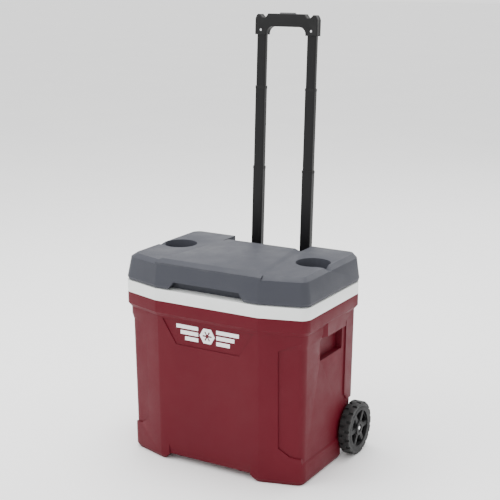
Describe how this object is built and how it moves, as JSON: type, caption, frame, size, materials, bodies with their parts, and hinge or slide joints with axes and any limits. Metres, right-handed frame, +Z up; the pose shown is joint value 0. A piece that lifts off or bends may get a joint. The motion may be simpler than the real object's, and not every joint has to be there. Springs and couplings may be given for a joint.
{
  "type": "wheeled cooler chest",
  "caption": "Hard-sided insulated cooler chest with hinged lid, cup wells in the lid, moulded end grips, telescoping pull handle and rear wheels.",
  "frame": {"origin": "on the ground, on the underside of the chest, midway between its ends and midway between the front and rear corners of its rim", "axes": "+X to the right seen from the front, +Y from front to back, +Z up"},
  "size_m": [0.493, 0.3674, 0.9763],
  "materials": {
    "shell_red": "satin",
    "liner_white": "satin",
    "lid_grey": "matte",
    "emblem_white": "satin",
    "foam_cream": "matte",
    "tube_black": "satin",
    "grip_black": "matte",
    "collar_black": "satin",
    "wheel_black": "matte",
    "tread_black": "matte",
    "steel": "polished",
    "nut_black": "satin",
    "button_grey": "satin"
  },
  "bodies": {
    "chest": {"outer_shell": "shell_red", "inner_liner": "liner_white", "wall_foam": "foam_cream", "front_emblem": "emblem_white", "rear_cover": "shell_red", "cover_screws": "steel", "upper_tube_bracket": "collar_black", "lower_tube_bracket": "collar_black", "guide_tube_left": "tube_black", "guide_tube_right": "tube_black", "guide_collars": "collar_black", "hinge_body_leaf_left": "liner_white", "hinge_body_leaf_right": "liner_white", "hinge_body_screws": "steel", "hinge_pin_left": "steel", "hinge_pin_right": "steel", "axle": "steel", "axle_bush_left": "wheel_black", "axle_bush_right": "wheel_black", "push_nut_left": "nut_black", "push_nut_right": "nut_black"},
    "lid": {"lid_shell": "lid_grey", "lid_liner": "liner_white", "lid_foam": "foam_cream", "hinge_lid_leaf_left": "liner_white", "hinge_lid_leaf_right": "liner_white", "hinge_lid_screws": "steel"},
    "handle_outer": {"outer_tube_left": "tube_black", "outer_tube_right": "tube_black", "outer_collars": "collar_black", "outer_plugs": "collar_black"},
    "handle_middle": {"middle_tube_left": "tube_black", "middle_tube_right": "tube_black", "middle_collars": "collar_black", "middle_plugs": "collar_black"},
    "handle_inner": {"inner_tube_left": "tube_black", "inner_tube_right": "tube_black", "inner_plugs": "collar_black", "grip_front": "grip_black", "grip_rear": "grip_black", "grip_screws": "steel", "button_spring": "steel"},
    "button": {"release_button": "button_grey"},
    "wheel_left": {"wheel_left_rim": "wheel_black", "wheel_left_tyre": "tread_black"},
    "wheel_right": {"wheel_right_rim": "wheel_black", "wheel_right_tyre": "tread_black"}
  },
  "joints": [
    {"name": "lid_hinge", "type": "hinge", "parent": "chest", "child": "lid", "pos_m": [0, 0.1434, 0.401], "axis": [-1, 0, 0], "range_deg": [0, 60]},
    {"name": "handle_outer_slide", "type": "slide", "parent": "chest", "child": "handle_outer", "axis": [0, 0.0445, 0.999], "range_m": [-0.222, 0]},
    {"name": "handle_middle_slide", "type": "slide", "parent": "handle_outer", "child": "handle_middle", "axis": [0, 0.0445, 0.999], "range_m": [-0.179, 0]},
    {"name": "handle_inner_slide", "type": "slide", "parent": "handle_middle", "child": "handle_inner", "axis": [0, 0.0445, 0.999], "range_m": [-0.1155, 0]},
    {"name": "release_button_press", "type": "slide", "parent": "handle_inner", "child": "button", "axis": [0, -0.0445, -0.999], "range_m": [0, 0.004], "stiffness_N_per_m": 500, "springref_m": -0.004, "deforming": ["button_spring"]},
    {"name": "wheel_left_spin", "type": "hinge", "parent": "chest", "child": "wheel_left", "pos_m": [0, 0.106, 0.061], "axis": [1, 0, 0], "continuous": true},
    {"name": "wheel_right_spin", "type": "hinge", "parent": "chest", "child": "wheel_right", "pos_m": [0, 0.106, 0.061], "axis": [1, 0, 0], "continuous": true}
  ]
}
